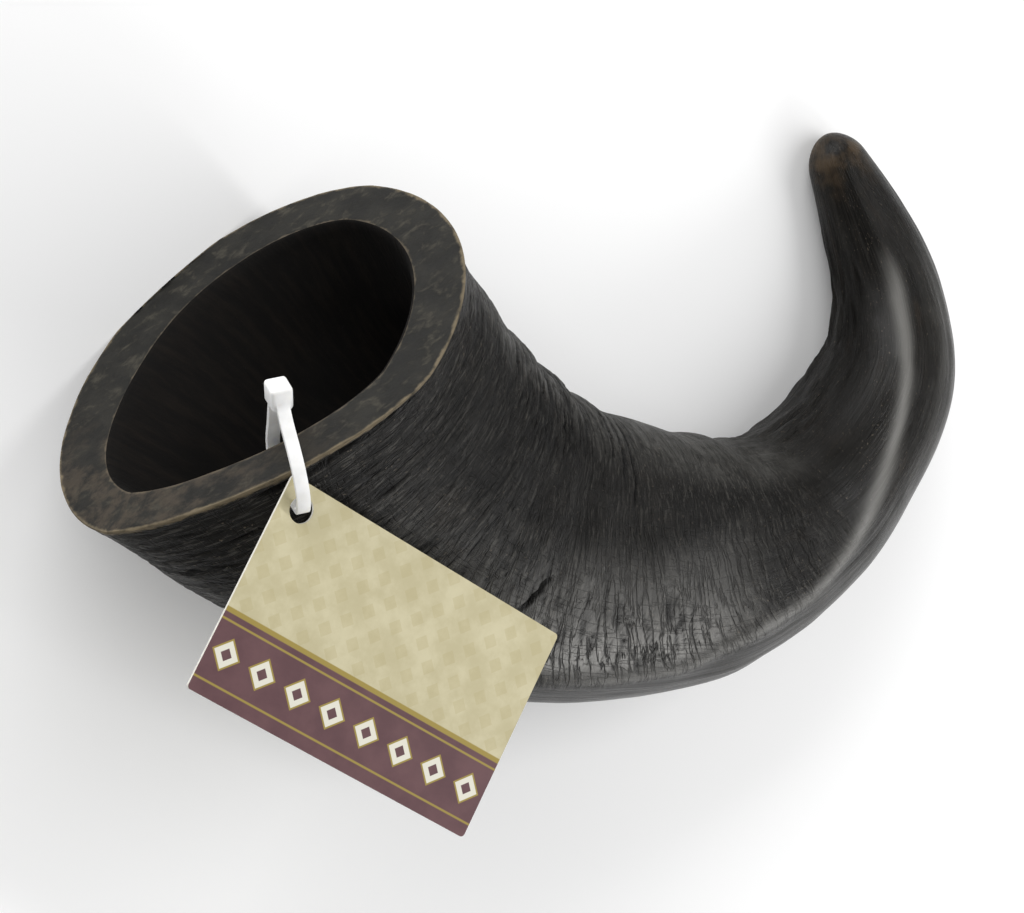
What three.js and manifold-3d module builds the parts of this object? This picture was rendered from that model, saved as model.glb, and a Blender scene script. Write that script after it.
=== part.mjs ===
// A hollow water-buffalo horn sawn off at the base, lying on its flatter flank, with a card tag held to
// the mouth by a nylon cable tie.
// Millimetres, +Z up. Seen from above, the mouth is at -X, the bend at +X and the tip curls to +Y.
import * as THREE from "three";
import { mergeVertices } from "three/addons/utils/BufferGeometryUtils.js";
import Module from "manifold-3d";

// Stations along the horn's axis, from the mouth to the tip: where the axis is, the half width out to the
// keel, the half height, how much the section thins towards the keel, how square its upper outer shoulder
// and its underside are (1 is an ellipse, less is squarer), and the degrees that the keel side leans down.
const STATIONS = [
  { at: [-64.2, 26.4, 36], half: 47.4, tall: 34.8, keel: 0, shoulder: 1.4, flat: 1.2, lean: 18 },
  { at: [-48.5, 10.5, 34.5], half: 42.3, tall: 32.5, keel: 0.15, shoulder: 1.1, flat: 0.8, lean: 17 },
  { at: [-31, -3, 32], half: 38.5, tall: 30, keel: 0.2, shoulder: 1.05, flat: 0.68, lean: 15 },
  { at: [-8, -15, 28], half: 34.3, tall: 27.3, keel: 0.2, shoulder: 1, flat: 0.68, lean: 12 },
  { at: [16, -22.3, 25.5], half: 30.7, tall: 25, keel: 0.2, shoulder: 0.95, flat: 0.68, lean: 10 },
  { at: [45, -25.1, 22.3], half: 27.1, tall: 21.8, keel: 0.15, shoulder: 0.85, flat: 0.68, lean: 7 },
  { at: [69.5, -20, 19.5], half: 21.2, tall: 18.6, keel: 0.12, shoulder: 0.8, flat: 0.68, lean: 4 },
  { at: [87.3, -7.5, 17], half: 18, tall: 16, keel: 0.1, shoulder: 0.78, flat: 0.68, lean: 2 },
  { at: [101, 10, 14], half: 16, tall: 13.5, keel: 0.05, shoulder: 0.8, flat: 0.68, lean: 0 },
  { at: [103.8, 28, 10.5], half: 12.8, tall: 10.5, keel: 0, shoulder: 0.85, flat: 0.68, lean: 0 },
  { at: [99, 45, 7.9], half: 10, tall: 8, keel: 0, shoulder: 0.95, flat: 0.68, lean: 0 },
  { at: [89.3, 65, 5.8], half: 5.5, tall: 5, keel: 0, shoulder: 1, flat: 0.68, lean: 0 },
];
const LAST = STATIONS.length - 1;
const TIP_ROUND = 0.3; // stations of the tip that are rounded off
const UNDER_TALL = 0.92; // the underside is lower than the upper side
const UNDER_KEEL = 0.6; // share of the thinning towards the keel that it has
const REST_CUT = 1; // height at which the rounded underside is worn flat where it rests
const REST_BLOCK = [400, 400, 40]; // block that takes off what is lower, larger than the horn

const MOUTH_TILT = 15; // degrees that the saw cut leans back from square, so the mouth looks up
const MOUTH_TURN = 1.5; // degrees that it is turned towards the keel
const MOUTH_FADE = 4; // stations over which the cut's slant dies out along the horn
const FADE_POWER = 1.5; // above 1 the slant dies out fastest at the mouth
const LIP_RISE = 6; // how far the rim stands out above and below the flank
const LIP_REACH = 0.3; // stations in which most of that dies out
const DROOP = 7.5; // how far the keel hangs below the axis at the mouth
const DROOP_FADE = 2; // stations over which that dies out
const WALL = 10.5; // wall at the mouth's sides
const WALL_TOP = 11; // wall at its upper side
const WALL_UNDER = 12; // wall at its underside
const CAVITY_END = 7; // station where the cavity closes

const SWELL_HEIGHT = 0.35; // growth swellings round the base half
const SWELL_PITCH = 0.8; // stations from one to the next
const SWELL_WANDER = 2.3; // how fast that spacing drifts
const SWELL_STARTS = [0.3, 1.2]; // stations between which they rise
const SWELL_STOPS = [5, 8]; // and die out
const SWELL_KEEL = 0.7; // share of a swelling that is lost at the keel

const AROUND = 44; // facets around the horn
const ALONG = 58; // facets along its outside
const ALONG_TIP = 5;
const ALONG_CAVITY = 18;
const AXIS_STEP = 0.02; // stations either side from which the axis takes its direction
const WELD = 1e-4; // points closer than this are one

const TIE_ANGLE = 48.4; // degrees round the mouth, from the keel, where the tie sits
const TIE_LEAN = 24; // degrees that the loop leans away from the keel
const STRAP_WIDE = 2.5;
const STRAP_THICK = 1.1;
const STRAP_STEPS = 44;
const HEAD_SIZE = [4.6, 5, 4.4]; // out of the mouth, across the wall, along the rim
const HEAD_AT = [12, -8.3]; // out of the mouth, and out from the rim's outer edge
const BORE = 4.4; // hole drilled through the wall for the tie
const BORE_BACK = 7; // how far behind the rim it is
const BORE_SIDES = 16;

const TAG_LONG = 70;
const TAG_SHORT = 44.2;
const TAG_THICK = 0.8;
const TAG_CORNER = 0.8; // corner radius
const TAG_HOLE = 5.2;
const TAG_HOLE_IN = 5; // from each edge to the hole's centre
const TAG_ARC_STEPS = 6;
const TAG_DROOP = 3.5; // degrees that the long side falls away from the mouth
const TAG_TILT = -4; // degrees that the free long edge stands up
const TAG_LIFT = 3.1; // from the skin to the tag's middle, at its hole
const TAG_TURN = -32; // degrees from +X that the long side runs in plan

const materials = {
  horn: new THREE.MeshStandardMaterial({ color: 0x2a2723, roughness: 0.55, metalness: 0 }),
  nylon: new THREE.MeshStandardMaterial({ color: 0xe9e8e4, roughness: 0.45, metalness: 0 }),
  card: new THREE.MeshStandardMaterial({ color: 0xcfc6a0, roughness: 0.8, metalness: 0 }),
};

const { Manifold, Mesh } = await Module().then((wasm) => {
  wasm.setup();
  return wasm;
});

const radians = THREE.MathUtils.degToRad;
const signedPower = (value, power) => Math.sign(value) * Math.abs(value) ** power;
const dome = (share) => Math.sqrt(Math.max(0, 1 - share * share));

// A smooth run through the stations: every value at station s.
const columns = (s) => [...s.at, s.half, s.tall, s.keel, s.shoulder, s.flat, s.lean];
const run = new THREE.CubicInterpolant(
  Float32Array.from(STATIONS.keys()),
  Float32Array.from(STATIONS.flatMap(columns)),
  columns(STATIONS[0]).length,
);

function stationAt(s) {
  const values = run.evaluate(THREE.MathUtils.clamp(s, 0, LAST));
  const [x, y, z, half, tall, keel, shoulder, flat, lean] = values;
  return { centre: new THREE.Vector3(x, y, z), half, tall, keel, shoulder, flat, lean: radians(lean) };
}

// The section's own axes: along the horn, out to the keel, and up.
function axesAt(s) {
  const from = stationAt(s - AXIS_STEP).centre;
  const along = stationAt(s + AXIS_STEP).centre.sub(from).normalize();
  const out = new THREE.Vector3().crossVectors(along, new THREE.Vector3(0, 0, 1)).normalize();
  const up = new THREE.Vector3().crossVectors(out, along);
  const { lean } = stationAt(s);
  out.applyAxisAngle(along, -lean);
  up.applyAxisAngle(along, -lean);
  return { along, out, up };
}

const mouth = axesAt(0);
const cutNormal = mouth.along.clone().negate();
cutNormal.applyAxisAngle(mouth.out, radians(-MOUTH_TILT));
cutNormal.applyAxisAngle(mouth.up, radians(-MOUTH_TURN));

// The low growth swellings, which die out towards the mouth and the tip.
function swellAt(s) {
  const starts = THREE.MathUtils.smoothstep(s, ...SWELL_STARTS);
  const stops = THREE.MathUtils.smoothstep(s, ...SWELL_STOPS);
  const phase = (2 * Math.PI * s) / SWELL_PITCH + Math.sin(SWELL_WANDER * s);
  return SWELL_HEIGHT * starts * (1 - stops) * Math.sin(phase);
}

// A point of the horn at station s and an angle from the keel. Wall is 0 on the skin and 1 in the cavity,
// and shrink closes the section towards its axis.
function pointAt(s, angle, wall, shrink) {
  const { centre, half, tall, keel, shoulder, flat } = stationAt(s);
  const { along, out, up } = axesAt(s);
  const below = Math.sin(angle) < 0;
  const outer = Math.cos(angle) > 0;
  const across = signedPower(Math.cos(angle), !below && outer ? shoulder : 1);
  const thin = 1 - (below ? UNDER_KEEL : 1) * keel * across;
  const bulge = below ? flat : outer ? shoulder : 1;
  const rise = signedPower(Math.sin(angle), bulge) * thin;
  const swell = (1 - wall) * swellAt(s) * (1 - SWELL_KEEL * Math.max(0, across));
  const wide = half + swell - wall * WALL;
  const full = (tall + LIP_RISE * Math.exp(-s / LIP_REACH)) * (below ? UNDER_TALL : 1);
  const high = full + swell - wall * (below ? WALL_UNDER : WALL_TOP);
  const droop = DROOP * Math.max(0, 1 - s / DROOP_FADE) ** FADE_POWER * Math.max(0, across) ** 2;
  const offset = out.multiplyScalar(wide * across).addScaledVector(up, high * rise - droop);
  offset.multiplyScalar(shrink);
  const slant = -offset.dot(cutNormal) / mouth.along.dot(cutNormal);
  const fade = Math.max(0, 1 - s / MOUTH_FADE) ** FADE_POWER;
  return centre.add(offset).addScaledVector(along, slant * fade);
}

function ringAt(s, wall, shrink) {
  const turn = (i) => (i / AROUND) * 2 * Math.PI;
  return Array.from({ length: AROUND }, (_, i) => pointAt(s, turn(i), wall, shrink));
}

// A closed skin over a run of rings with the same number of points, each end closed by a fan.
function loft(rings) {
  const count = rings[0].length;
  const points = rings.flat();
  const first = points.length;
  const middle = (ring) => ring.reduce((sum, p) => sum.add(p), new THREE.Vector3()).divideScalar(count);
  points.push(middle(rings[0]), middle(rings.at(-1)));
  const index = [];
  for (let r = 0; r + 1 < rings.length; r++) {
    for (let i = 0; i < count; i++) {
      const a = r * count + i;
      const b = r * count + ((i + 1) % count);
      index.push(a, a + count, b, b, a + count, b + count);
    }
  }
  const last = (rings.length - 1) * count;
  for (let i = 0; i < count; i++) {
    const next = (i + 1) % count;
    index.push(first, i, next);
    index.push(first + 1, last + next, last + i);
  }
  const geometry = new THREE.BufferGeometry().setFromPoints(points);
  geometry.setIndex(index);
  return geometry;
}

function toSolid(geometry) {
  const bare = new THREE.BufferGeometry();
  bare.setAttribute("position", geometry.getAttribute("position").clone());
  if (geometry.index) bare.setIndex(geometry.index.clone());
  const merged = mergeVertices(bare, WELD);
  return new Manifold(
    new Mesh({
      numProp: 3,
      vertProperties: Float32Array.from(merged.getAttribute("position").array),
      triVerts: Uint32Array.from(merged.index.array),
    }),
  );
}

function toGeometry(solid) {
  const mesh = solid.getMesh();
  const geometry = new THREE.BufferGeometry();
  geometry.setAttribute("position", new THREE.BufferAttribute(Float32Array.from(mesh.vertProperties), 3));
  geometry.setIndex(Array.from(mesh.triVerts));
  return geometry;
}

// The tie's own frame, with its origin on the outer edge of the rim: x out of the mouth, y out across the
// wall and z along the rim away from the keel.
const rimOuter = pointAt(0, radians(TIE_ANGLE), 0, 1);
const rimInner = pointAt(0, radians(TIE_ANGLE), 1, 1);
const tieAcross = rimOuter.clone().sub(rimInner).normalize();
const tieAlong = new THREE.Vector3().crossVectors(cutNormal, tieAcross);
const tieOut = cutNormal.clone().applyAxisAngle(tieAcross, radians(-TIE_LEAN));
tieAlong.applyAxisAngle(tieAcross, radians(-TIE_LEAN));
const tieFrame = new THREE.Matrix4().makeBasis(tieOut, tieAcross, tieAlong).setPosition(rimOuter);
const wallThick = rimOuter.distanceTo(rimInner);

function boreGeometry() {
  const length = wallThick * 2;
  const bore = new THREE.CylinderGeometry(BORE / 2, BORE / 2, length, BORE_SIDES);
  return bore.translate(-BORE_BACK, -wallThick / 2, 0).applyMatrix4(tieFrame);
}

function hornSolid() {
  const rings = [];
  for (let i = ALONG_CAVITY - 1; i >= 0; i--) {
    const share = i / ALONG_CAVITY;
    rings.push(ringAt(share * CAVITY_END, 1, dome(share)));
  }
  const body = LAST - TIP_ROUND;
  for (let i = 0; i <= ALONG; i++) rings.push(ringAt((i / ALONG) * body, 0, 1));
  for (let i = 1; i < ALONG_TIP; i++) {
    const turn = ((i / ALONG_TIP) * Math.PI) / 2;
    rings.push(ringAt(body + TIP_ROUND * Math.sin(turn), 0, Math.cos(turn)));
  }
  const block = new THREE.BoxGeometry(...REST_BLOCK).translate(0, 0, REST_CUT - REST_BLOCK[2] / 2);
  return toSolid(loft(rings)).subtract(toSolid(boreGeometry())).subtract(toSolid(block));
}

// One flat strap round the wall: out of the head, over the rim and the tag, in through the bore, and back
// up inside the mouth to the head.
function tieSolid() {
  const [headOut, headAcross] = HEAD_AT;
  const inside = -wallThick - 3;
  const path = [
    [headOut, headAcross + 1.2],
    [headOut - 4, headAcross + 4.2],
    [4, 0.2],
    [0.5, 3.1],
    [-3.5, 4.8],
    [-BORE_BACK + 0.5, 4],
    [-BORE_BACK, 1],
    [-BORE_BACK, -wallThick / 2],
    [-BORE_BACK, -wallThick - 0.5],
    [-BORE_BACK + 1.2, inside],
    [-2, inside - 0.8],
    [3.5, inside + 0.6],
    [headOut - 3, headAcross - 2.4],
    [headOut, headAcross - 1.2],
  ];
  const curve = new THREE.CatmullRomCurve3(
    path.map(([out, across]) => new THREE.Vector3(out, across, 0)),
    false,
    "centripetal",
  );
  const side = new THREE.Vector3(0, 0, 1);
  const rings = [];
  for (let i = 0; i <= STRAP_STEPS; i++) {
    const at = curve.getPoint(i / STRAP_STEPS);
    const flat = new THREE.Vector3().crossVectors(side, curve.getTangent(i / STRAP_STEPS)).normalize();
    const corner = (a, b) =>
      at
        .clone()
        .addScaledVector(side, (a * STRAP_WIDE) / 2)
        .addScaledVector(flat, (b * STRAP_THICK) / 2);
    rings.push([corner(-1, -1), corner(1, -1), corner(1, 1), corner(-1, 1)]);
  }
  const strap = toSolid(loft(rings).applyMatrix4(tieFrame));
  const head = new THREE.BoxGeometry(...HEAD_SIZE).translate(headOut, headAcross, 0).applyMatrix4(tieFrame);
  return strap.add(toSolid(head));
}

// A flat card with rounded corners, hung by the hole in its corner where the strap comes out of the bore.
function tagGeometry() {
  const card = new THREE.Shape();
  const r = TAG_CORNER;
  card.moveTo(r, 0);
  card.lineTo(TAG_LONG - r, 0);
  card.absarc(TAG_LONG - r, -r, r, Math.PI / 2, 0, true);
  card.lineTo(TAG_LONG, r - TAG_SHORT);
  card.absarc(TAG_LONG - r, r - TAG_SHORT, r, 0, -Math.PI / 2, true);
  card.lineTo(r, -TAG_SHORT);
  card.absarc(r, r - TAG_SHORT, r, -Math.PI / 2, -Math.PI, true);
  card.lineTo(0, -r);
  card.absarc(r, -r, r, Math.PI, Math.PI / 2, true);
  const hole = new THREE.Path();
  hole.absarc(TAG_HOLE_IN, -TAG_HOLE_IN, TAG_HOLE / 2, 0, 2 * Math.PI, false);
  card.holes.push(hole);
  const geometry = new THREE.ExtrudeGeometry(card, {
    depth: TAG_THICK,
    bevelEnabled: false,
    curveSegments: TAG_ARC_STEPS,
  });
  geometry.translate(-TAG_HOLE_IN, TAG_HOLE_IN, -TAG_THICK / 2);
  geometry.rotateX(radians(TAG_TILT)).rotateY(radians(TAG_DROOP)).rotateZ(radians(TAG_TURN));
  const at = new THREE.Vector3(-BORE_BACK, TAG_LIFT, 0).applyMatrix4(tieFrame);
  return geometry.translate(at.x, at.y, at.z);
}

const part = new THREE.Group();
function addPiece(name, geometry, material) {
  geometry.computeVertexNormals();
  const mesh = new THREE.Mesh(geometry, material);
  mesh.name = name;
  part.add(mesh);
}
addPiece("horn", toGeometry(hornSolid()), materials.horn);
addPiece("cable_tie", toGeometry(tieSolid()), materials.nylon);
addPiece("tag", toGeometry(toSolid(tagGeometry())), materials.card);

// The origin is the middle of the whole thing's box, on the surface it lies on.
const box = new THREE.Box3().setFromObject(part);
const middle = box.getCenter(new THREE.Vector3());
for (const mesh of part.children) mesh.geometry.translate(-middle.x, -middle.y, -box.min.z);

export default part;
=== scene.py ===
import math

import bpy
from mathutils import Matrix, Quaternion, Vector, noise


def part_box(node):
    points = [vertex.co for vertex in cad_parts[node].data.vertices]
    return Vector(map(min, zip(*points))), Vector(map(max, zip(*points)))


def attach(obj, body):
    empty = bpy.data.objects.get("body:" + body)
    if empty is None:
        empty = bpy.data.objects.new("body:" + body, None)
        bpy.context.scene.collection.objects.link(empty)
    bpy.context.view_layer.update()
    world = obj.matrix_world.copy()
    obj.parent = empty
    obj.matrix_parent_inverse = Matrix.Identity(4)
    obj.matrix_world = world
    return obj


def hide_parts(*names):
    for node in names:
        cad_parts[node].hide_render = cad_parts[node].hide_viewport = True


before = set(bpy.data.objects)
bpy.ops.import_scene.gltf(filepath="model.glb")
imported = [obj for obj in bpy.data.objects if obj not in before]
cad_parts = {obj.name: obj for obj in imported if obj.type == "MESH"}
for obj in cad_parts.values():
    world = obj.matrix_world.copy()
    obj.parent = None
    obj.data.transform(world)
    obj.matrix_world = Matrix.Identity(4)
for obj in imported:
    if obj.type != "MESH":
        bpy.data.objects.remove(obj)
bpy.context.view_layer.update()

mm = 0.001
print("frame loaded with", sorted(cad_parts))


# picking and small edits

def pickNothing():
    if bpy.context.mode != "OBJECT":
        bpy.ops.object.mode_set(mode="OBJECT")
    bpy.ops.object.select_all(action="DESELECT")


def pickOnly(piece):
    pickNothing()
    piece.select_set(True)
    bpy.context.view_layer.objects.active = piece


def editMesh(piece):
    pickOnly(piece)
    bpy.ops.object.mode_set(mode="EDIT")
    bpy.ops.mesh.select_all(action="SELECT")


def finishWith(piece, kind, **settings):
    pickOnly(piece)
    modifier = piece.modifiers.new(kind.lower(), kind)
    for key, value in settings.items():
        setattr(modifier, key, value)
    bpy.ops.object.modifier_apply(modifier=modifier.name)


def settle(piece):
    pickOnly(piece)
    bpy.ops.object.transform_apply(location=True, rotation=True, scale=True)


def cutWith(piece, cutter):
    finishWith(piece, "BOOLEAN", operation="DIFFERENCE", solver="EXACT", object=cutter)
    bpy.data.objects.remove(cutter)


def rise(x, low, high):  # smooth 0 to 1 between low and high
    t = min(max((x - low) / (high - low), 0), 1)
    return t * t * (3 - 2 * t)


def window(x, low, high, soft):  # 1 between low and high, with soft ends
    return rise(x, low - soft, low + soft) * (1 - rise(x, high - soft, high + soft))


def through(x, points):  # straight lines through a few (x, y) points
    for (x0, y0), (x1, y1) in zip(points, points[1:]):
        if x <= x1:
            return y0 + (y1 - y0) * min(max((x - x0) / (x1 - x0), 0), 1)
    return points[-1][1]


# shader helpers

def startMaterial(name, roughness=0.5):
    material = bpy.data.materials.new(name)
    material.use_nodes = True
    tree = material.node_tree
    tree.nodes.clear()
    output = tree.nodes.new("ShaderNodeOutputMaterial")
    shader = tree.nodes.new("ShaderNodeBsdfPrincipled")
    shader.inputs["Roughness"].default_value = roughness
    tree.links.new(shader.outputs["BSDF"], output.inputs["Surface"])
    return material, tree, shader


def plug(tree, socket, value):
    if isinstance(value, bpy.types.NodeSocket):
        tree.links.new(value, socket)
    else:
        socket.default_value = value


def readAttribute(tree, name, output="Vector"):
    node = tree.nodes.new("ShaderNodeAttribute")
    node.attribute_name = name
    return node.outputs[output]


def parts(tree, vector):
    node = tree.nodes.new("ShaderNodeSeparateXYZ")
    plug(tree, node.inputs[0], vector)
    return node.outputs["X"], node.outputs["Y"], node.outputs["Z"]


def sums(tree, operation, a, b=0.0, c=0.0):
    node = tree.nodes.new("ShaderNodeMath")
    node.operation = operation
    for socket, value in zip(node.inputs, (a, b, c)):
        plug(tree, socket, value)
    return node.outputs[0]


def stretched(tree, vector, scale, turn=(0, 0, 0), move=(0, 0, 0)):
    node = tree.nodes.new("ShaderNodeMapping")
    plug(tree, node.inputs["Vector"], vector)
    node.inputs["Scale"].default_value = scale
    node.inputs["Rotation"].default_value = turn
    node.inputs["Location"].default_value = move
    return node.outputs["Vector"]


def cloud(tree, vector, scale=1.0, detail=3.0, rough=0.55, warp=0.0):
    node = tree.nodes.new("ShaderNodeTexNoise")
    plug(tree, node.inputs["Vector"], vector)
    node.inputs["Scale"].default_value = scale
    node.inputs["Detail"].default_value = detail
    node.inputs["Roughness"].default_value = rough
    node.inputs["Distortion"].default_value = warp
    return node.outputs["Fac"]


def ramp(tree, value, low, high, toLow=0.0, toHigh=1.0):
    node = tree.nodes.new("ShaderNodeMapRange")
    node.interpolation_type = "SMOOTHSTEP"
    for name, number in (("From Min", low), ("From Max", high), ("To Min", toLow), ("To Max", toHigh)):
        plug(tree, node.inputs[name], number)
    plug(tree, node.inputs["Value"], value)
    return node.outputs["Result"]


def thinLines(tree, value, wide):  # 0 in the thin lines where a cloud crosses its middle, 1 elsewhere
    away = sums(tree, "ABSOLUTE", sums(tree, "SUBTRACT", value, 0.5))
    return ramp(tree, away, 0, wide)


def tint(tree, amount, under, over):
    node = tree.nodes.new("ShaderNodeMix")
    node.data_type = "RGBA"
    plug(tree, node.inputs["Factor"], amount)
    colours = [s for s in node.inputs if s.type == "RGBA"]
    for socket, colour in zip(colours, (under, over)):
        plug(tree, socket, colour if isinstance(colour, bpy.types.NodeSocket) else (*colour, 1))
    return [s for s in node.outputs if s.type == "RGBA"][0]


def bumpOn(tree, height, distance, strength=1.0, under=None):
    node = tree.nodes.new("ShaderNodeBump")
    node.inputs["Strength"].default_value = strength
    node.inputs["Distance"].default_value = distance
    plug(tree, node.inputs["Height"], height)
    if under is not None:
        plug(tree, node.inputs["Normal"], under)
    return node.outputs["Normal"]


# camera, at the photograph's angle, image 1024 x 913

view = dict(
    azimuth=-107, elevation=60, roll=105,  # degrees
    target=(-7.80, 0.595, 21.0),  # mm, what the middle of the picture looks at
    distance=650,
    lens=108.8, sensor=36,
)


def cameraAxes():
    a, e, r = (math.radians(view[key]) for key in ("azimuth", "elevation", "roll"))
    back = Vector((math.sin(a) * math.cos(e), -math.cos(a) * math.cos(e), math.sin(e)))
    flatRight = Vector((math.cos(a), math.sin(a), 0))
    flatUp = back.cross(flatRight)
    right = math.cos(r) * flatRight + math.sin(r) * flatUp
    up = math.cos(r) * flatUp - math.sin(r) * flatRight
    return right, up, back


camRight, camUp, camBack = cameraAxes()
camTarget = Vector(view["target"]) * mm
bpy.ops.object.camera_add()
camera = bpy.context.object
camera.name = "camera"
turn = Matrix((camRight, camUp, camBack)).transposed().to_4x4()
camera.matrix_world = Matrix.Translation(camTarget + camBack * view["distance"] * mm) @ turn
camera.data.sensor_fit = "HORIZONTAL"
camera.data.sensor_width = view["sensor"]
camera.data.lens = view["lens"]
camera.data.clip_start = 0.01
bpy.context.scene.camera = camera
print("camera placed")


# horn

horn = dict(
    # axis point, half width out to the keel, half height (mm), thinning to the keel, how square the
    # upper shoulder and the underside are, degrees of lean
    stations=[
        (-71.996, 26.995, 35.0, 47.4, 34.8, 0.0, 1.4, 1.2, 18),
        (-56.296, 11.095, 33.5, 42.3, 32.5, 0.15, 1.1, 0.8, 17),
        (-38.796, -2.405, 31.0, 38.5, 30.0, 0.2, 1.05, 0.68, 15),
        (-15.796, -14.405, 27.0, 34.3, 27.3, 0.2, 1.0, 0.68, 12),
        (8.204, -21.705, 24.5, 30.7, 25.0, 0.2, 0.95, 0.68, 10),
        (37.204, -24.505, 21.3, 27.1, 21.8, 0.15, 0.85, 0.68, 7),
        (61.704, -19.405, 18.5, 21.2, 18.6, 0.12, 0.8, 0.68, 4),
        (79.504, -6.905, 16.0, 18.0, 16.0, 0.1, 0.78, 0.68, 2),
        (93.204, 10.595, 13.0, 16.0, 13.5, 0.05, 0.8, 0.68, 0),
        (96.004, 28.595, 9.5, 12.8, 10.5, 0.0, 0.85, 0.68, 0),
        (91.204, 45.595, 6.9, 10.0, 8.0, 0.0, 0.95, 0.68, 0),
        (81.504, 65.595, 4.8, 5.5, 5.0, 0.0, 1.0, 0.68, 0),
    ],
    tipRound=0.3,  # stations of the tip that are rounded off
    underTall=0.92, underKeel=0.6,
    mouthTilt=15, mouthTurn=1.5, mouthFade=4,
    lipRise=6.0, lipReach=0.3, droop=7.5, droopFade=2.0,  # the rim's flare, and how its keel end hangs
    wall=10.5, wallTop=11.0, wallUnder=12.0, cavityEnd=7.0,
    swell=0.35, swellPitch=0.8, swellKeel=0.7,
    around=160,  # facets round the horn
    fineStep=0.43, coarseStep=0.85, fineTo=165,  # mm along it, fine as far as the wrinkles go
    tipRows=10, ringRows=10, cavityRows=26,
    chamfer=0.35,  # mm worn off the sawn edges
    grainRadius=30,  # mm, the radius on which the grain is laid out
    # the blunt ridge that the bend carries: station and degrees from the keel
    ridge=[
        (0, 10), (3.35, 33), (3.9, 36), (4.5, 45), (4.75, 53), (5.1, 61), (5.5, 64), (5.85, 72), (6.15, 78),
        (6.45, 84), (7.1, 94), (7.7, 106), (8.1, 111), (8.95, 111), (9.4, 108), (10.1, 108), (11, 104),
    ],
    ridgeHeight=2.2, ridgeWide=5.0, ridgeBlunt=1.0,
    grainShear=0.45,  # how the rings of the middle lean over towards the keel
)
lastStation = len(horn["stations"]) - 1


def stationAt(s):
    table = horn["stations"]
    s = min(max(s, 0), lastStation)
    i = min(int(s), lastStation - 1)
    t = s - i
    here, there = table[i], table[i + 1]
    before = table[i - 1] if i else [2 * a - b for a, b in zip(here, there)]
    after = table[i + 2] if i + 2 <= lastStation else [2 * b - a for a, b in zip(here, there)]
    return [
        0.5 * (2 * a + (b - p) * t + (2 * p - 5 * a + 4 * b - n) * t ** 2
               + (3 * a - p - 3 * b + n) * t ** 3)
        for p, a, b, n in zip(before, here, there, after)
    ]


def axesAt(s):
    along = (Vector(stationAt(s + 0.02)[:3]) - Vector(stationAt(s - 0.02)[:3])).normalized()
    lean = Quaternion(along, -math.radians(stationAt(s)[8]))
    out = along.cross(Vector((0, 0, 1))).normalized()
    return along, lean @ out, lean @ out.cross(along)


mouthAlong, mouthOut, mouthUp = axesAt(0)
cutNormal = Quaternion(mouthOut, math.radians(-horn["mouthTilt"])) @ -mouthAlong
cutNormal = Quaternion(mouthUp, math.radians(-horn["mouthTurn"])) @ cutNormal


def swellAt(s):
    reach = rise(s, 0.3, 1.2) * (1 - rise(s, 5, 8))
    return horn["swell"] * reach * math.sin(2 * math.pi * s / horn["swellPitch"] + math.sin(2.3 * s))


def power(value, exponent):
    return math.copysign(abs(value) ** exponent, value)


def sectionAt(s, wall=0.0, shrink=1.0):  # gives a function of the angle round the horn
    x, y, z, half, tall, keel, shoulder, flat = stationAt(s)[:8]
    along, out, up = axesAt(s)
    centre = Vector((x, y, z))
    swell = (1 - wall) * swellAt(s)
    fade = max(0, 1 - s / horn["mouthFade"]) ** 1.5
    square = mouthAlong.dot(cutNormal)
    lip = horn["lipRise"] * math.exp(-s / horn["lipReach"])
    hang = horn["droop"] * max(0, 1 - s / horn["droopFade"]) ** 1.5

    def pointAt(angle):
        cosA, sinA = math.cos(angle), math.sin(angle)
        below = sinA < 0
        outer = cosA > 0
        across = power(cosA, shoulder if outer and not below else 1)
        thin = 1 - (horn["underKeel"] if below else 1) * keel * across
        bulge = flat if below else (shoulder if outer else 1)
        raised = swell * (1 - horn["swellKeel"] * max(0, across))
        wide = half + raised - wall * horn["wall"]
        high = (tall + lip) * (horn["underTall"] if below else 1) + raised
        high -= wall * horn["wallUnder" if below else "wallTop"]
        lift = high * power(sinA, bulge) * thin - hang * max(0, across) ** 2
        offset = (out * (wide * across) + up * lift) * shrink
        return centre + offset + along * (-offset.dot(cutNormal) / square * fade)

    return pointAt


def axisLengths(step=0.05):  # (station, mm from the mouth) pairs
    pairs = [(0.0, 0.0)]
    here = Vector(stationAt(0)[:3])
    for i in range(1, round(lastStation / step) + 1):
        there = Vector(stationAt(i * step)[:3])
        pairs.append((i * step, pairs[-1][1] + (there - here).length))
        here = there
    return pairs


lengths = axisLengths()
stationsByLength = [(length, s) for s, length in lengths]


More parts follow.
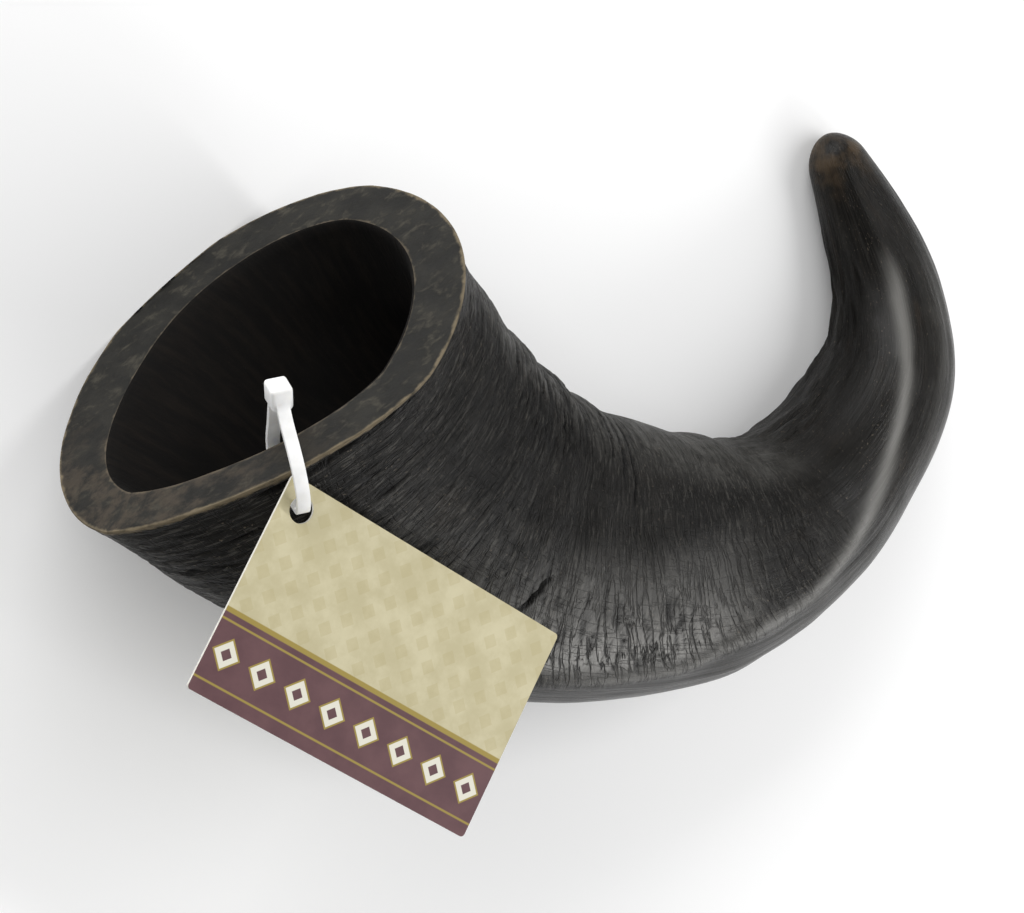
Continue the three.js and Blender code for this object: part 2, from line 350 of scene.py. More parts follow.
def hornRows():  # every ring from the end of the cavity, over the sawn rim, to the tip
    rows = []
    cavityLength = through(horn["cavityEnd"], lengths)
    for i in range(horn["cavityRows"], 0, -1):
        share = (i / horn["cavityRows"]) ** 1.3
        closing = math.sqrt(max(0, 1 - share ** 2))
        rows.append(dict(s=share * horn["cavityEnd"], wall=1.0, shrink=closing, zone=2))
    rows.append(dict(s=horn["chamfer"] / cavityLength * horn["cavityEnd"], wall=1.0, shrink=1.0, zone=2))
    chamferShare = horn["chamfer"] / horn["wall"]
    for i in range(horn["ringRows"] + 1):
        share = chamferShare + (1 - 2 * chamferShare) * i / horn["ringRows"]
        rows.append(dict(s=0.0, wall=1 - share, shrink=1.0, zone=1))
    body = lastStation - horn["tipRound"]
    bodyLength = through(body, lengths)
    length = horn["chamfer"]
    while length < bodyLength - horn["coarseStep"] / 2:
        rows.append(dict(s=through(length, stationsByLength), wall=0.0, shrink=1.0, zone=0))
        fine = 1 - rise(length, horn["fineTo"] - 25, horn["fineTo"] + 10)
        length += horn["coarseStep"] + (horn["fineStep"] - horn["coarseStep"]) * fine
    for i in range(horn["tipRows"] + 1):
        turn = i / horn["tipRows"] * math.pi / 2
        s = body + horn["tipRound"] * math.sin(turn)
        rows.append(dict(s=s, wall=0.0, shrink=math.cos(turn) if i < horn["tipRows"] else 0.0, zone=0))
    return rows


def clefts(grain, pitch, reach, lengthwise=False, seed=0.0, thin=0.22):  # 0 to 1 in thin winding lines
    a, b = (reach, pitch) if not lengthwise else (pitch, reach)
    at = Vector((grain.x / a + seed, grain.y / a, grain.z / b))
    return max(0, 1 - abs(noise.noise(at)) / thin)


def patches(grain, size, seed=0.0):  # about -1 to 1
    return noise.noise(Vector((grain.x / size + seed, grain.y / size, grain.z / size)))


def crackLine(place, crack):  # one long crack round the horn
    first, last = crack["angles"]
    degrees = place["degrees"]
    if not first < degrees < last:
        return 0.0
    jagged = 1.1 * noise.noise(Vector((degrees / 4, crack["at"], 0)))
    jagged += 0.5 * noise.noise(Vector((degrees / 1.5, crack["at"], 3)))
    middle = crack["at"] + crack["slope"] * (degrees - first) + jagged
    depth = max(0, 1 - abs(place["length"] - middle) / crack["wide"])
    return depth * window(degrees, first + 4, last - 4, 4)


def skinRelief(place, grain):  # height in mm, and how deep in a cleft 0 to 1
    s, degrees = place["s"], place["degrees"]
    fromRidge = degrees - through(s, horn["ridge"])
    overRidge = rise(fromRidge, -2, 9)
    topSide = overRidge * (1 - rise(degrees, 178, 200))
    wobble = Vector((grain.x, grain.y, grain.z + 1.2 * patches(grain, 9, 3.1)))

    wrinkled = window(s, 2.7, 4.75, 0.5) * overRidge * (1 - rise(fromRidge, 30, 62))
    inner = window(s, 1.7, 4.0, 0.5) * window(degrees, 112, 175, 12)
    base = window(s, 0.06, 2.9, 0.5) * window(degrees, -60, 215, 25)
    spread = 0.5 + 0.5 * patches(grain, 14, 7.7)

    bigWrinkles = clefts(wobble, 2.6, 11, seed=1.5, thin=0.3)
    smallWrinkles = clefts(wobble, 1.5, 7, seed=5.2, thin=0.3)
    shortClefts = clefts(wobble, 1.7, 4.2, seed=9.4, thin=0.25)
    longLines = clefts(wobble, 1.9, 16, seed=12.8, thin=0.16)

    deep = wrinkled * (0.16 * bigWrinkles + 0.16 * smallWrinkles)
    deep += inner * (0.34 * longLines * rise(spread, 0.3, 0.6) + 0.1 * shortClefts)
    deep += base * (1 - 0.7 * wrinkled) * (0.28 * shortClefts * (0.4 + 0.8 * spread) + 0.16 * longLines)

    for crack in horn["cracks"]:
        deep += crack["deep"] * crackLine(place, crack)

    scaly = window(s, 5.6, 9.9, 0.6) * window(degrees, 142, 222, 16)
    fibres = noise.noise(Vector((grain.x / 1.6, grain.y / 1.6, grain.z / 15)))
    flakes = patches(Vector((grain.x, grain.y, grain.z / 2.5)), 3.4, 2.2)
    grooves = window(s, 4.2, 10.4, 0.8) * noise.noise(Vector((grain.x / 2.4, grain.y / 2.4, grain.z / 60)))

    fromCrest = math.radians(fromRidge) * place["radius"]
    sharp = math.exp(-math.sqrt(fromCrest ** 2 + horn["ridgeBlunt"] ** 2) / horn["ridgeWide"])
    ridge = horn["ridgeHeight"] * sharp * rise(s, 1.6, 4.2) * (1 - rise(s, 9.0, 10.8))

    lumps = (0.4 - 0.25 * rise(s, 4.5, 8)) * patches(grain, 21, 4.4) + 0.12 * patches(grain, 7, 8.8)
    height = ridge + lumps * rise(place["length"], 1, 9) - deep
    height += scaly * (0.55 * fibres + 0.9 * flakes) + 0.14 * grooves * (1 - scaly)
    height *= 1 - 0.85 * rise(s, 10.2, 10.9)
    # gloss on the wrinkle tops, also used there as the mask of a painted highlight
    glossAndHighlight = wrinkled * topSide * (1 - 0.6 * rise(fromRidge, 10, 34))
    # cleft depth, which the shader paints as shade, then gloss and painted highlight on the wrinkle tops,
    # then the scaly zone
    finishAndPaintedLight = (min(1, deep / 0.35), glossAndHighlight, scaly)

    ridgeShade = window(fromRidge, 24, 62, 12) * window(s, 5.6, 9.6, 0.7)  # painted shade, and duller, beside the ridge
    # painted shade down the middle of the flank, joined to the painted shade beside the ridge
    flankShade = max(ridgeShade, window(degrees, 78, 124, 13) * window(s, 0.5, 5.8, 0.7))
    # painted highlight along the ridge's crest
    crestHighlight = math.exp(-(fromCrest / 1.5) ** 2) * window(s, 3.6, 9.4, 0.5)
    # painted sheen: along the concave edge, on the flank behind the mouth, and on the outer side of the
    # ridge
    paintedSheen = window(degrees, 128, 190, 9) * window(s, 0.9, 6.0, 0.6)
    paintedSheen = max(paintedSheen, 0.7 * window(degrees, 30, 74, 12) * window(s, 1.0, 2.7, 0.5))
    paintedSheen = max(paintedSheen, 0.6 * rise(-fromRidge, 14, 40) * window(s, 3.4, 9.4, 0.6))
    polish = max(rise(s, 4.6, 7.0), rise(-fromRidge, 2, 9) * window(s, 2.9, 12, 0.4))
    return height, finishAndPaintedLight, (flankShade, crestHighlight, paintedSheen), polish


horn["cracks"] = [
    dict(angles=(38, 92), at=3.0, slope=-0.02, wide=1.0, deep=1.1),  # just behind the rim
    dict(angles=(55, 77), at=65.5, slope=0.08, wide=1.0, deep=1.2),  # beside the tag's corner
    dict(angles=(122, 160), at=33.0, slope=0.04, wide=0.7, deep=0.7),
    dict(angles=(126, 158), at=49.5, slope=0.05, wide=0.9, deep=1.0),
    dict(angles=(118, 160), at=78.5, slope=0.04, wide=0.7, deep=0.7),
    dict(angles=(112, 158), at=83.0, slope=0.04, wide=0.75, deep=0.7),
    dict(angles=(104, 152), at=87.5, slope=0.02, wide=0.7, deep=0.6),
    dict(angles=(-40, 20), at=14.0, slope=0.02, wide=0.7, deep=0.5),
    dict(angles=(190, 235), at=31.0, slope=-0.03, wide=0.7, deep=0.5),
]


def buildHorn():
    rows = hornRows()
    around = horn["around"]
    pickNothing()
    bpy.ops.mesh.primitive_grid_add(x_subdivisions=around, y_subdivisions=len(rows) - 1, size=1)
    piece = bpy.context.object
    piece.name = "buffalo_horn"
    mesh = piece.data
    mesh.name = "buffalo_horn"
    # two of these attributes carry painted light: one holds cleft depth for painted shade, gloss with
    # painted wrinkle highlights, and the scaly zone; the other holds painted flank shade, the crest
    # highlight and the sheen
    for name in ("grain", "place", "edge", "finishAndPaintedLight", "paintedLight"):
        mesh.attributes.new(name, "FLOAT_VECTOR", "POINT")
    mesh.attributes.new("polish", "FLOAT", "POINT")
    grainData, placeData, edgeData = (mesh.attributes[n].data for n in ("grain", "place", "edge"))
    rim = [sectionAt(0)(2 * math.pi * i / around) for i in range(around + 1)]
    lip = [sectionAt(0, 1.0)(2 * math.pi * i / around) for i in range(around + 1)]
    for r, row in enumerate(rows):  # the grid's rows become rings
        pointAt = sectionAt(row["s"], row["wall"], row["shrink"])
        length = through(row["s"], lengths)
        for i in range(around + 1):
            angle = 2 * math.pi * (i % around) / around
            point = pointAt(angle)
            index = r * (around + 1) + i
            mesh.vertices[index].co = Vector((point.x, point.y, max(point.z, 0))) * mm
            radius = horn["grainRadius"] * (1 - 0.25 * row["wall"])
            below = 1.75 - (angle if angle < 4.3 else angle - 2 * math.pi)  # from just past the top
            sheared = horn["grainShear"] * radius * max(0, min(below, 2)) * rise(row["s"], 1.8, 3.0)
            level = length - sheared * (1 - rise(row["s"], 5, 7))
            grainData[index].vector = (radius * math.cos(angle), radius * math.sin(angle), level)
            placeData[index].vector = (row["s"], math.cos(angle), math.sin(angle))
            edgeData[index].vector = ((point - rim[i]).length, (point - lip[i]).length, row["zone"])
    for face in mesh.polygons:
        face.material_index = rows[min(face.index // around, len(rows) - 2)]["zone"]
    editMesh(piece)
    bpy.ops.mesh.remove_doubles(threshold=0.002 * mm)
    bpy.ops.mesh.normals_make_consistent(inside=False)
    pickOnly(piece)
    print("horn skin:", len(mesh.vertices), "points,", len(rows), "rings")
    return piece


def wearHorn(piece):  # ridges, wrinkles, cracks and fibres, moved along the normals
    mesh = piece.data
    grainData, placeData, edgeData = (mesh.attributes[n].data for n in ("grain", "place", "edge"))
    finishAndPaintedLightData, paintedLightData, polishData = (mesh.attributes[n].data for n in ("finishAndPaintedLight", "paintedLight", "polish"))
    normals = [v.normal.copy() for v in mesh.vertices]
    for vertex, normal in zip(mesh.vertices, normals):
        i = vertex.index
        grain = Vector(grainData[i].vector)
        s, cosA, sinA = placeData[i].vector
        zone = round(edgeData[i].vector[2])
        finishAndPaintedLight, paintedLight, polish = (0, 0, 0), (0, 0, 0), 0
        if zone == 0:
            degrees = math.degrees(math.atan2(sinA, cosA))
            station = stationAt(s)
            place = dict(
                s=s, degrees=degrees + 360 if degrees < -110 else degrees, length=through(s, lengths),
                radius=(station[3] + station[4]) / 2,
            )
            height, finishAndPaintedLight, paintedLight, polish = skinRelief(place, grain)
            height *= rise(place["length"], -1, 2.5)
        elif zone == 1:
            height = 0.12 * patches(grain, 5, 1.0) + 0.05 * patches(grain, 1.7, 2.0)
        else:
            height = (0.5 * patches(grain, 12, 6.0) + 0.2 * patches(grain, 4, 3.0)) * rise(grain.z, 0, 8)
        vertex.co += normal * height * mm
        vertex.co.z = max(vertex.co.z, 0)
        finishAndPaintedLightData[i].vector = finishAndPaintedLight
        paintedLightData[i].vector = paintedLight
        polishData[i].value = polish
    mesh.update()
    print("horn worn")


# tie frame: out of the mouth, across the wall, along the rim

tie = dict(
    angle=48.4, lean=24,  # degrees round the mouth from the keel, and how the loop leans
    bore=4.4, boreBack=7.0,  # mm
    rounding=0.28,
    headAt=(12.0, -8.3, 0.0), headSize=(4.6, 5.0, 4.4), headRounding=0.75,  # in the tie's own frame
)


def tieFrame():
    outer = sectionAt(0)(math.radians(tie["angle"]))
    inner = sectionAt(0, 1.0)(math.radians(tie["angle"]))
    across = (outer - inner).normalized()
    lean = Quaternion(across, -math.radians(tie["lean"]))
    out, along = lean @ cutNormal, lean @ cutNormal.cross(across)
    turn = Matrix((out, across, along)).transposed().to_4x4()
    return Matrix.Translation(outer * mm) @ turn, (outer - inner).length


tiePlace, wallThick = tieFrame()


def drillHorn(piece):
    pickNothing()
    bpy.ops.mesh.primitive_cylinder_add(vertices=32, radius=tie["bore"] / 2 * mm, depth=2 * wallThick * mm)
    drill = bpy.context.object
    stand = Matrix.Rotation(math.radians(90), 4, "X")
    middle = Vector((-tie["boreBack"], -wallThick / 2, 0)) * mm
    drill.matrix_world = tiePlace @ Matrix.Translation(middle) @ stand
    settle(drill)
    cutWith(piece, drill)
    print("horn drilled for the tie:", len(piece.data.polygons), "faces")


skinTints = dict(  # linear colour
    deep=(0.0042, 0.0037, 0.0031), dull=(0.0088, 0.0078, 0.0065), streak=(0.019, 0.0175, 0.015),
    scuff=(0.024, 0.0228, 0.0205), stain=(0.020, 0.0135, 0.0085), dash=(0.075, 0.071, 0.063),
    # painted light among these: the near-black flank colour and the crease colour are painted shade, the
    # pale one is a painted sheen, and the wrinkle-top and crest ones are painted highlights
    speck=(0.15, 0.125, 0.095), flankShade=(0.0024, 0.0020, 0.0015), paintedSheen=(0.055, 0.0535, 0.049),
    wrinkleHighlight=(0.30, 0.294, 0.28), crestHighlight=(0.18, 0.176, 0.166), creaseShade=(0.002, 0.0018, 0.0016),
    tip=(0.075, 0.052, 0.031), cream=(0.21, 0.165, 0.10),
)


def hornSkin():
    material, tree, shader = startMaterial("horn_skin")
    shader.inputs["Specular IOR Level"].default_value = 0.16
    grain = readAttribute(tree, "grain")
    station = parts(tree, readAttribute(tree, "place"))[0]
    fromRim = parts(tree, readAttribute(tree, "edge"))[0]
    # the cleft and wrinkle masks feed painted shade and painted highlights
    cleft, wrinkled, scaly = parts(tree, readAttribute(tree, "finishAndPaintedLight"))
    flankShade, crestHighlight, paintedSheen = parts(tree, readAttribute(tree, "paintedLight"))
    polished = readAttribute(tree, "polish", "Fac")

    broad = cloud(tree, grain, 0.055, 4, 0.6)
    scuffed = ramp(tree, cloud(tree, stretched(tree, grain, (0.25, 0.25, 0.12)), 1, 5, 0.65), 0.48, 0.72)
    streaks = cloud(tree, stretched(tree, grain, (0.9, 0.9, 0.035)), 1, 4, 0.6)
    rings = cloud(tree, stretched(tree, grain, (0.09, 0.09, 0.75)), 1, 4, 0.65)
    lines = tint(tree, polished, rings, streaks)

    colour = tint(tree, ramp(tree, broad, 0.36, 0.66), skinTints["deep"], skinTints["dull"])
    colour = tint(tree, ramp(tree, lines, 0.5, 0.78, 0, 0.55), colour, skinTints["streak"])
    colour = tint(tree, sums(tree, "MULTIPLY", scuffed, 0.35), colour, skinTints["scuff"])
    stained = cloud(tree, stretched(tree, grain, (0.13, 0.13, 0.05), move=(7, 3, 0)), 1, 3, 0.6)
    colour = tint(tree, ramp(tree, stained, 0.56, 0.74, 0, 0.4), colour, skinTints["stain"])
    dashes = cloud(tree, stretched(tree, grain, (0.32, 0.32, 1.7)), 1, 5, 0.7, 0.4)
    matt = ramp(tree, polished, 1, 0)
    lightDash = sums(tree, "MULTIPLY", ramp(tree, dashes, 0.53, 0.61, 0, 0.75), matt)
    colour = tint(tree, lightDash, colour, skinTints["dash"])
    specks = cloud(tree, grain, 1.7, 2, 0.5)
    colour = tint(tree, ramp(tree, specks, 0.67, 0.73, 0, 0.7), colour, skinTints["speck"])
    folds = thinLines(tree, cloud(tree, stretched(tree, grain, (0.085, 0.085, 0.5)), 1, 3, 0.55, 0.4), 0.05)
    lengthwise = cloud(tree, stretched(tree, grain, (0.55, 0.55, 0.06)), 1, 3, 0.55, 0.3)
    crossing = thinLines(tree, lengthwise, 0.03)
    net = sums(tree, "MULTIPLY", folds, ramp(tree, crossing, 0, 1, 0.55, 1))
    netted = sums(tree, "MULTIPLY", matt, ramp(tree, wrinkled, 0, 1, 0.4, 1))
    # painted shade down the middle of the flank and beside the ridge
    colour = tint(tree, sums(tree, "MULTIPLY", flankShade, 0.55), colour, skinTints["flankShade"])
    patchy = ramp(tree, cloud(tree, grain, 0.16, 4, 0.65), 0.35, 0.65, 0.3, 0.8)
    # painted sheen, in patches
    colour = tint(tree, sums(tree, "MULTIPLY", paintedSheen, patchy), colour, skinTints["paintedSheen"])
    # painted highlights on the wrinkle tops
    colour = tint(tree, sums(tree, "MULTIPLY", wrinkled, 0.85), colour, skinTints["wrinkleHighlight"])
    # painted highlight along the crest
    colour = tint(tree, sums(tree, "MULTIPLY", crestHighlight, 0.8), colour, skinTints["crestHighlight"])
    # painted shade in the lines of the wrinkle net and in the clefts and cracks
    netShade = sums(tree, "MULTIPLY", ramp(tree, net, 1, 0), netted)
    colour = tint(tree, sums(tree, "MULTIPLY", netShade, 0.8), colour, skinTints["creaseShade"])
    colour = tint(tree, ramp(tree, cleft, 0.15, 0.9, 0, 0.9), colour, skinTints["creaseShade"])
    worn = cloud(tree, tree.nodes.new("ShaderNodeTexCoord").outputs["Object"], 160, 3, 0.6)
    tipTan = sums(tree, "MULTIPLY", ramp(tree, station, 10.3, 10.85), ramp(tree, worn, 0.42, 0.68))
    colour = tint(tree, sums(tree, "MULTIPLY", tipTan, 0.7), colour, skinTints["tip"])
    ragged = sums(tree, "MULTIPLY", cloud(tree, grain, 0.5, 3, 0.6), 2.6)
    cream = ramp(tree, sums(tree, "SUBTRACT", ragged, fromRim), 0.1, 0.9)
    colour = tint(tree, sums(tree, "MULTIPLY", cream, 0.75), colour, skinTints["cream"])
    plug(tree, shader.inputs["Base Color"], colour)

    fine = cloud(tree, stretched(tree, grain, (1.6, 1.6, 1.6)), 1, 4, 0.7)
    rough = tint(tree, polished, (0.44, 0.44, 0.44), (0.30, 0.30, 0.30))
    rough = sums(tree, "ADD", rough, ramp(tree, lines, 0.3, 0.7, -0.08, 0.1))
    rough = sums(tree, "ADD", rough, sums(tree, "MULTIPLY", wrinkled, -0.1))
    rough = sums(tree, "ADD", rough, sums(tree, "MULTIPLY", scaly, 0.12))
    rough = sums(tree, "ADD", rough, sums(tree, "MULTIPLY", flankShade, 0.1))
    rough = sums(tree, "ADD", rough, sums(tree, "MULTIPLY", crestHighlight, -0.08))
    plug(tree, shader.inputs["Roughness"], rough)

    along = cloud(tree, stretched(tree, grain, (1.1, 1.1, 0.05)), 1, 3, 0.65)
    fibre = cloud(tree, stretched(tree, grain, (0.9, 0.9, 0.12)), 1, 4, 0.7)
    normal = bumpOn(tree, sums(tree, "MULTIPLY", dashes, matt), 0.4 * mm, 0.8)
    normal = bumpOn(tree, along, 0.28 * mm, 0.45, normal)
    normal = bumpOn(tree, sums(tree, "MULTIPLY", net, netted), 0.5 * mm, 1, normal)
    normal = bumpOn(tree, sums(tree, "MULTIPLY", fibre, scaly), 1.4 * mm, 0.9, normal)
    normal = bumpOn(tree, fine, 0.1 * mm, 0.4, normal)
    plug(tree, shader.inputs["Normal"], normal)
    return material


def sawnHorn():
    material, tree, shader = startMaterial("sawn_horn")
    shader.inputs["Specular IOR Level"].default_value = 0.25
    grain = readAttribute(tree, "grain")
    keelward = parts(tree, readAttribute(tree, "place"))[1]
    fromRim, fromLip = parts(tree, readAttribute(tree, "edge"))[:2]
    spot = tree.nodes.new("ShaderNodeTexCoord").outputs["Object"]
    sawn = stretched(tree, spot, (60, 420, 420), turn=(0, 0, math.radians(38)))
    marks = cloud(tree, sawn, 1, 4, 0.65, 0.4)
    fibres = cloud(tree, stretched(tree, grain, (0.16, 0.16, 1)), 1.5, 5, 0.7)
    mottle = cloud(tree, spot, 140, 4, 0.6)
    colour = tint(tree, ramp(tree, mottle, 0.35, 0.7), (0.008, 0.0076, 0.0062), (0.017, 0.016, 0.0130))
    colour = tint(tree, ramp(tree, marks, 0.5, 0.72, 0, 0.75), colour, (0.055, 0.050, 0.039))
    colour = tint(tree, ramp(tree, marks, 0.46, 0.34, 0, 0.7), colour, (0.0045, 0.0042, 0.0034))
    keelEnd = sums(tree, "MULTIPLY", ramp(tree, keelward, 0.35, 0.95), ramp(tree, fibres, 0.42, 0.62))
    colour = tint(tree, sums(tree, "MULTIPLY", keelEnd, 0.65), colour, (0.062, 0.048, 0.034))
    ragged = sums(tree, "MULTIPLY", cloud(tree, grain, 0.45, 3, 0.6), 2.0)
    cream = ramp(tree, sums(tree, "SUBTRACT", ragged, fromRim), 0.0, 0.8)
    colour = tint(tree, sums(tree, "MULTIPLY", cream, 0.7), colour, (0.20, 0.16, 0.10))
    inner = ramp(tree, sums(tree, "SUBTRACT", ragged, fromLip), 0.2, 0.8)
    colour = tint(tree, sums(tree, "MULTIPLY", inner, 0.5), colour, (0.15, 0.12, 0.08))
    plug(tree, shader.inputs["Base Color"], colour)
    plug(tree, shader.inputs["Roughness"], ramp(tree, marks, 0.3, 0.7, 0.62, 0.8))
    normal = bumpOn(tree, marks, 0.25 * mm, 0.5)
    normal = bumpOn(tree, cloud(tree, spot, 1500, 3, 0.6), 0.08 * mm, 0.5, normal)
    plug(tree, shader.inputs["Normal"], normal)
    return material


def hollowHorn():
    material, tree, shader = startMaterial("hollow_horn", 0.85)
    shader.inputs["Specular IOR Level"].default_value = 0.15
    grain = readAttribute(tree, "grain")
    lengthwise = cloud(tree, stretched(tree, grain, (0.6, 0.6, 0.09)), 1, 5, 0.65)
    fibres = ramp(tree, lengthwise, 0.4, 0.75)
    # the hollow's own dark fibres, made darker still as painted shade inside it
    colour = tint(tree, fibres, (0.0022, 0.0018, 0.0015), (0.0065, 0.0048, 0.0035))
    plug(tree, shader.inputs["Base Color"], colour)
    plug(tree, shader.inputs["Normal"], bumpOn(tree, lengthwise, 0.5 * mm, 0.6))
    return material


hornPiece = buildHorn()
wearHorn(hornPiece)
drillHorn(hornPiece)
for material in (hornSkin(), sawnHorn(), hollowHorn()):
    hornPiece.data.materials.append(material)
pickOnly(hornPiece)
bpy.ops.object.shade_smooth_by_angle(angle=math.radians(50))
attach(hornPiece, "root")
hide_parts("horn")
print("horn done:", len(hornPiece.data.polygons), "faces")


# cable tie

def buildTie():
    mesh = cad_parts["cable_tie"].data.copy()
    piece = bpy.data.objects.new("nylon_cable_tie", mesh)
    bpy.context.scene.collection.objects.link(piece)
    mesh.materials.clear()
    editMesh(piece)
    bpy.ops.mesh.remove_doubles(threshold=0.005 * mm)
    bpy.ops.mesh.dissolve_limited(angle_limit=math.radians(2))
    bpy.ops.mesh.select_all(action="DESELECT")
    pickOnly(piece)
    toTie = tiePlace.inverted()
    corners = []
    for vertex in mesh.vertices:  # the head's eight corners
        local = toTie @ vertex.co / mm - Vector(tie["headAt"])
        corners.append(all(abs(abs(a) - size / 2) < 0.1 for a, size in zip(local, tie["headSize"])))
    for edge in mesh.edges:
        edge.select = all(corners[i] for i in edge.vertices)
    print("tie head edges:", sum(e.select for e in mesh.edges))
    bpy.ops.object.mode_set(mode="EDIT")
    bpy.ops.mesh.select_mode(type="EDGE")
    bpy.ops.mesh.bevel(offset=tie["headRounding"] * mm, segments=4)
    pickOnly(piece)
    finishWith(
        piece, "BEVEL", width=tie["rounding"] * mm, segments=3, limit_method="ANGLE",
        angle_limit=math.radians(45), use_clamp_overlap=True, harden_normals=False,
    )
    pickOnly(piece)
    bpy.ops.object.shade_smooth_by_angle(angle=math.radians(40))
    return piece


def nylon():
    material, tree, shader = startMaterial("white_nylon", 0.42)
    spot = tree.nodes.new("ShaderNodeTexCoord").outputs["Object"]
    soft = cloud(tree, spot, 300, 3, 0.5)
    colour = tint(tree, ramp(tree, soft, 0.35, 0.7), (0.80, 0.80, 0.79), (0.88, 0.88, 0.87))
    plug(tree, shader.inputs["Base Color"], colour)
    shader.inputs["Subsurface Weight"].default_value = 0.35
    shader.inputs["Subsurface Radius"].default_value = (1.0, 0.95, 0.85)
    shader.inputs["Subsurface Scale"].default_value = 1.2 * mm
    plug(tree, shader.inputs["Normal"], bumpOn(tree, cloud(tree, spot, 2500, 2, 0.5), 0.03 * mm, 0.4))
    return material


tiePiece = buildTie()
tiePiece.data.materials.append(nylon())
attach(tiePiece, "root")
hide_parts("cable_tie")
print("cable tie done:", len(tiePiece.data.polygons), "faces")


# card tag

tag = dict(
    long=70.0, short=44.2, thick=0.55, corner=0.8,  # mm
    hole=5.2, holeIn=5.0,
    turn=-32, droop=3.5, tilt=-4,  # degrees in plan, down from the mouth, and its free edge up
    curl=0.5,  # mm that the far edge lifts
    columns=34, rows=23,
)


def buildTag():
    low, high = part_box("tag")
    turn = Matrix.Rotation(math.radians(tag["turn"]), 4, "Z")
    turn = turn @ Matrix.Rotation(math.radians(tag["droop"]), 4, "Y")
    turn = turn @ Matrix.Rotation(math.radians(tag["tilt"]), 4, "X")
    pickNothing()
    bpy.ops.mesh.primitive_cube_add(size=1)
    piece = bpy.context.object
    piece.name = "card_tag"
    piece.data.name = "card_tag"
    piece.scale = Vector((tag["long"], tag["short"], tag["thick"])) * mm
    settle(piece)
    editMesh(piece)
    bpy.ops.mesh.select_all(action="DESELECT")
    pickOnly(piece)
    for edge in piece.data.edges:  # the four upright corners
        a, b = (piece.data.vertices[i].co for i in edge.vertices)
        edge.select = abs(a.z - b.z) > 0.1 * mm
    bpy.ops.object.mode_set(mode="EDIT")
    bpy.ops.mesh.select_mode(type="EDGE")
    bpy.ops.mesh.bevel(offset=tag["corner"] * mm, segments=5)
    pickNothing()
    bpy.ops.mesh.primitive_cylinder_add(
        vertices=48, radius=tag["hole"] / 2 * mm, depth=4 * mm,
        location=Vector((tag["holeIn"] - tag["long"] / 2, tag["short"] / 2 - tag["holeIn"], 0)) * mm,
    )
    punch = bpy.context.object
    settle(punch)
    cutWith(piece, punch)
    for count, size, axis in ((tag["columns"], tag["long"], 0), (tag["rows"], tag["short"], 1)):
        for i in range(1, count):  # slices, so that the card can curl
            editMesh(piece)
            normal = [0, 0, 0]
            normal[axis] = 1
            at = [0, 0, 0]
            at[axis] = (i / count - 0.5) * size * mm
            bpy.ops.mesh.bisect(plane_co=at, plane_no=normal)
    pickOnly(piece)
    mesh = piece.data
    design = mesh.uv_layers.new(name="print")
    for loop in mesh.loops:
        co = mesh.vertices[loop.vertex_index].co
        design.uv[loop.index].vector = (co.x / mm / tag["long"] + 0.5, co.y / mm / tag["long"] + 0.5)
    mesh.materials.clear()
    for face in mesh.polygons:  # front, back, edge
        level = face.center.z / mm / tag["thick"]
        face.material_index = 0 if level > 0.45 else (1 if level < -0.45 else 2)
    print("tag faces:", [sum(f.material_index == k for f in mesh.polygons) for k in range(3)])
    for vertex in mesh.vertices:
        u, v = vertex.co.x / mm / tag["long"] + 0.5, vertex.co.y / mm / tag["short"] + 0.5
        vertex.co.z += tag["curl"] * mm * (u * u * (1 - 0.5 * v) - 0.25)
    piece.matrix_world = Matrix.Translation((low + high) / 2) @ turn
    settle(piece)
    bpy.ops.object.shade_smooth_by_angle(angle=math.radians(30))
    return piece


def near(tree, value, at, half, soft=0.0015):  # 1 within half of a place
    away = sums(tree, "ABSOLUTE", sums(tree, "SUBTRACT", value, at))
    return ramp(tree, away, half + soft, half - soft)


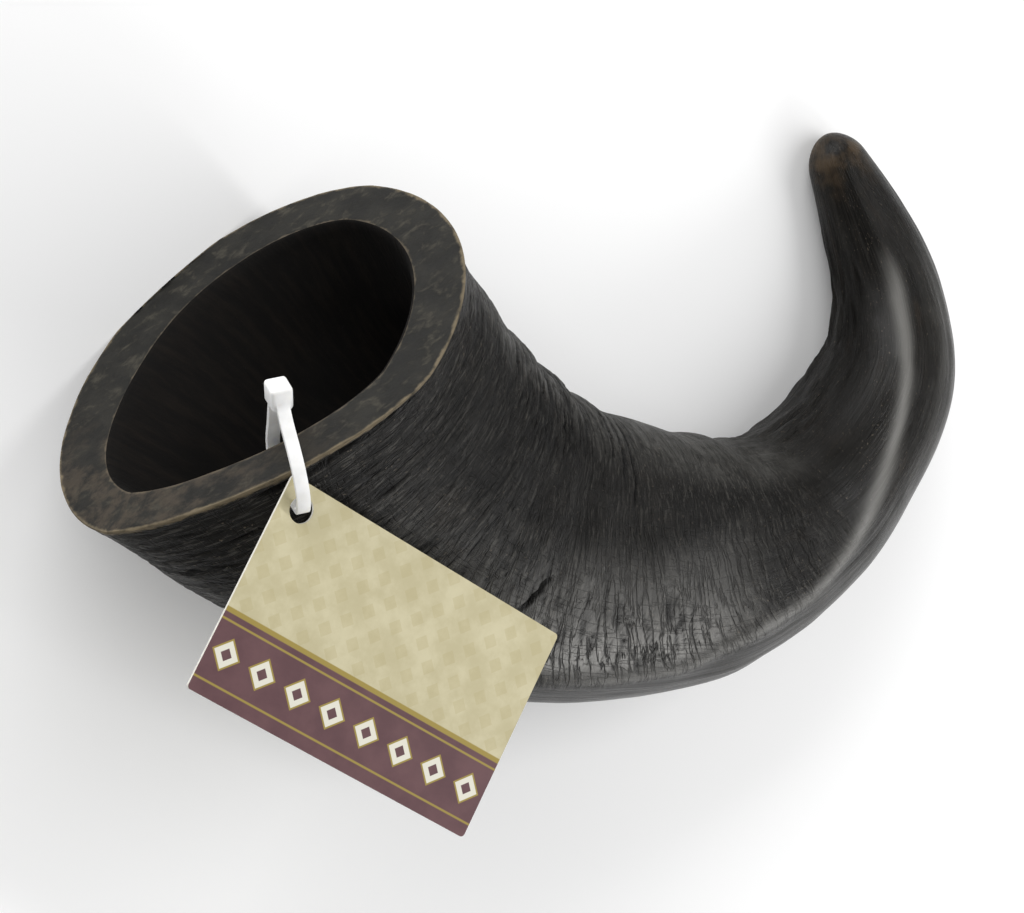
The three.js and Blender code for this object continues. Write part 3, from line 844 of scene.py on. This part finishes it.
def tagPrint():
    material, tree, shader = startMaterial("tag_print", 0.45)
    uv = tree.nodes.new("ShaderNodeUVMap")
    uv.uv_map = "print"
    u, v = parts(tree, uv.outputs["UV"])[:2]
    half = tag["short"] / tag["long"] / 2
    paper = cloud(tree, stretched(tree, uv.outputs["UV"], (9, 9, 9)), 1, 4, 0.6)
    ground = tint(tree, ramp(tree, paper, 0.35, 0.7), (0.47, 0.42, 0.25), (0.56, 0.51, 0.33))
    # tone on tone diamonds, a quarter turned
    across = sums(tree, "ADD", u, v)
    down = sums(tree, "SUBTRACT", u, v)
    one = sums(tree, "PINGPONG", across, 0.05)
    two = sums(tree, "PINGPONG", down, 0.05)
    lozenge = ramp(tree, sums(tree, "MAXIMUM", one, two), 0.026, 0.024)
    ground = tint(tree, sums(tree, "MULTIPLY", lozenge, 0.3), ground, (0.40, 0.34, 0.16))
    # burgundy band along the lower long edge, between gold lines
    bandTop = 0.5 - half + 0.235
    burgundy = tint(tree, ramp(tree, paper, 0.3, 0.7), (0.085, 0.030, 0.036), (0.115, 0.047, 0.052))
    colour = tint(tree, ramp(tree, v, bandTop + 0.001, bandTop - 0.001), ground, burgundy)
    gold = (0.30, 0.22, 0.035)
    for level, wide in ((bandTop, 0.007), (bandTop - 0.026, 0.003), (0.5 - half + 0.04, 0.003)):
        colour = tint(tree, near(tree, v, level, wide), colour, gold)
    # a row of cream lozenges on the band
    step = 0.125
    middle = 0.5 - half + 0.125
    cell = sums(tree, "PINGPONG", sums(tree, "ADD", u, -step / 2), step / 2)
    taxi = sums(tree, "ADD", cell, sums(tree, "ABSOLUTE", sums(tree, "SUBTRACT", v, middle)))
    colour = tint(tree, ramp(tree, taxi, 0.049, 0.047), colour, gold)
    colour = tint(tree, ramp(tree, taxi, 0.042, 0.040), colour, (0.70, 0.68, 0.58))
    colour = tint(tree, ramp(tree, taxi, 0.020, 0.018), colour, burgundy)
    plug(tree, shader.inputs["Base Color"], colour)
    tooth = cloud(tree, uv.outputs["UV"], 220, 3, 0.6)
    plug(tree, shader.inputs["Normal"], bumpOn(tree, tooth, 0.02 * mm, 0.4))
    return material


def plainCard(name, dark, light):
    material, tree, shader = startMaterial(name, 0.75)
    spot = tree.nodes.new("ShaderNodeTexCoord").outputs["Object"]
    fibres = cloud(tree, spot, 900, 4, 0.7)
    plug(tree, shader.inputs["Base Color"], tint(tree, ramp(tree, fibres, 0.35, 0.7), dark, light))
    plug(tree, shader.inputs["Normal"], bumpOn(tree, fibres, 0.03 * mm, 0.4))
    return material


tagPiece = buildTag()
tagPiece.data.materials.append(tagPrint())
tagPiece.data.materials.append(plainCard("tag_back", (0.60, 0.56, 0.42), (0.70, 0.66, 0.52)))
tagPiece.data.materials.append(plainCard("tag_edge", (0.66, 0.64, 0.58), (0.78, 0.76, 0.70)))
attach(tagPiece, "root")
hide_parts("tag")
print("tag done:", len(tagPiece.data.polygons), "faces")


# floor and studio light

studio = dict(
    floor=6.0,  # metres
    world=0.32,
    # name, way from the horn (towards the bend, the tip and up), metres off, way its long side runs,
    # size (m), watts
    lamps=[
        ("top", (-0.40, 0.82, 0.42), 1.0, (1, 0.5, 0), (1.1, 0.6), 10),
        ("strip", (0.66, 0.05, 0.65), 0.9, (-0.48, 0.93, 0.5), (1.2, 0.08), 4.5),
        ("low", (0.60, -0.69, 0.40), 0.95, (0.7, 0.6, 0), (0.6, 0.3), 4.5),
    ],
)


pickNothing()
bpy.ops.mesh.primitive_plane_add(size=studio["floor"])
floor = bpy.context.object
floor.name = "floor"
floorMaterial, floorTree, floorShader = startMaterial("pale_floor", 0.9)
floorCloud = cloud(floorTree, floorTree.nodes.new("ShaderNodeTexCoord").outputs["Object"], 3, 2, 0.5)
floorColour = tint(floorTree, floorCloud, (0.94, 0.94, 0.94), (0.96, 0.96, 0.96))
plug(floorTree, floorShader.inputs["Base Color"], floorColour)
floor.data.materials.append(floorMaterial)

world = bpy.data.worlds.new("studio")
world.use_nodes = True
world.node_tree.nodes["Background"].inputs["Color"].default_value = (1, 1, 1, 1)
world.node_tree.nodes["Background"].inputs["Strength"].default_value = studio["world"]
bpy.context.scene.world = world

for name, way, off, run, (wide, tall), watts in studio["lamps"]:
    bpy.ops.object.light_add(type="AREA")
    lamp = bpy.context.object
    lamp.name = "lamp_" + name
    lamp.data.shape = "RECTANGLE"
    lamp.data.size = wide
    lamp.data.size_y = tall
    lamp.data.energy = watts
    away = Vector(way).normalized()
    side = (Vector(run) - away * away.dot(Vector(run))).normalized()
    turn = Matrix((side, away.cross(side), away)).transposed().to_4x4()
    lamp.matrix_world = Matrix.Translation(camTarget + away * off) @ turn

bpy.context.scene.view_settings.view_transform = "Standard"
print("studio lit")
